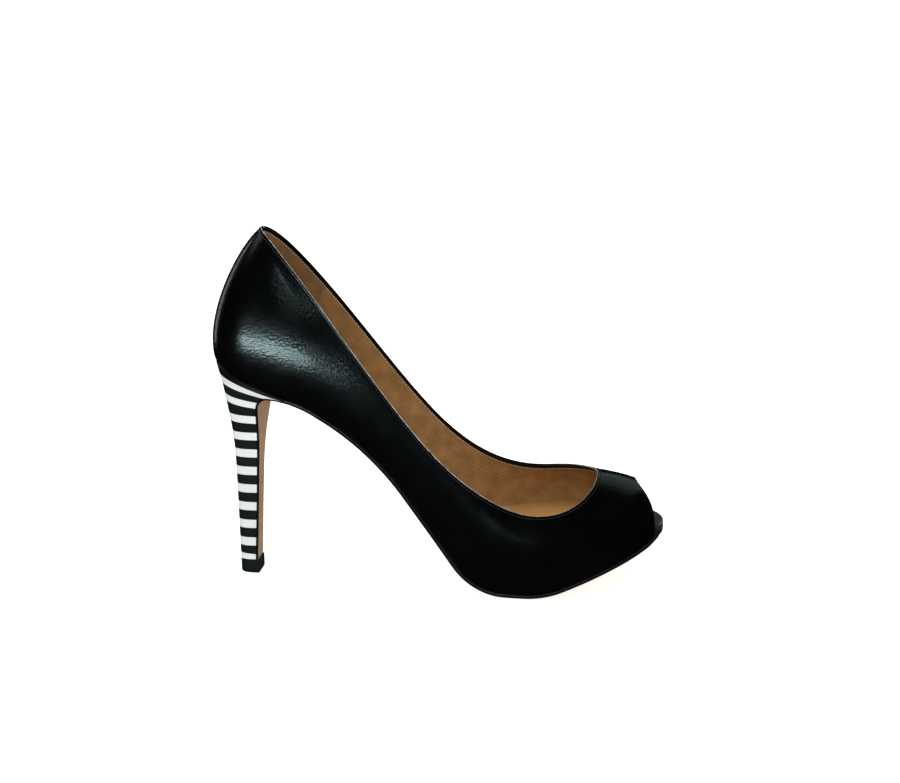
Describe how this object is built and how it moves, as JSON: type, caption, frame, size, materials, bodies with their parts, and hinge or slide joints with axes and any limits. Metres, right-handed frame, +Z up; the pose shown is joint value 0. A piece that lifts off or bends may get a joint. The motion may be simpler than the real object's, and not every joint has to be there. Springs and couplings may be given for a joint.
{
  "type": "peep-toe platform pump",
  "caption": "Peep-toe court shoe with a covered platform, a slim high heel in level stripes, a curved arch, a thin leather sole and an open collar.",
  "frame": {"origin": "on the floor under the middle of the shoe's box", "axes": "+X towards the toe, -Y to the outer side of the foot, +Z up"},
  "size_m": [0.2084, 0.0752, 0.1662],
  "materials": {
    "upper_leather": "smooth satin black calf",
    "sock_leather": "matt tan",
    "platform_leather": "smooth satin black calf",
    "sole_leather": "waxed tan with a black edge",
    "heel_cover": "satin, in black and white stripes",
    "lift_rubber": "matt black"
  },
  "bodies": {
    "root": {"upper": "upper_leather", "insole": "sock_leather", "platform": "platform_leather", "outsole": "sole_leather", "heel": "heel_cover", "top_lift": "lift_rubber"}
  },
  "joints": []
}
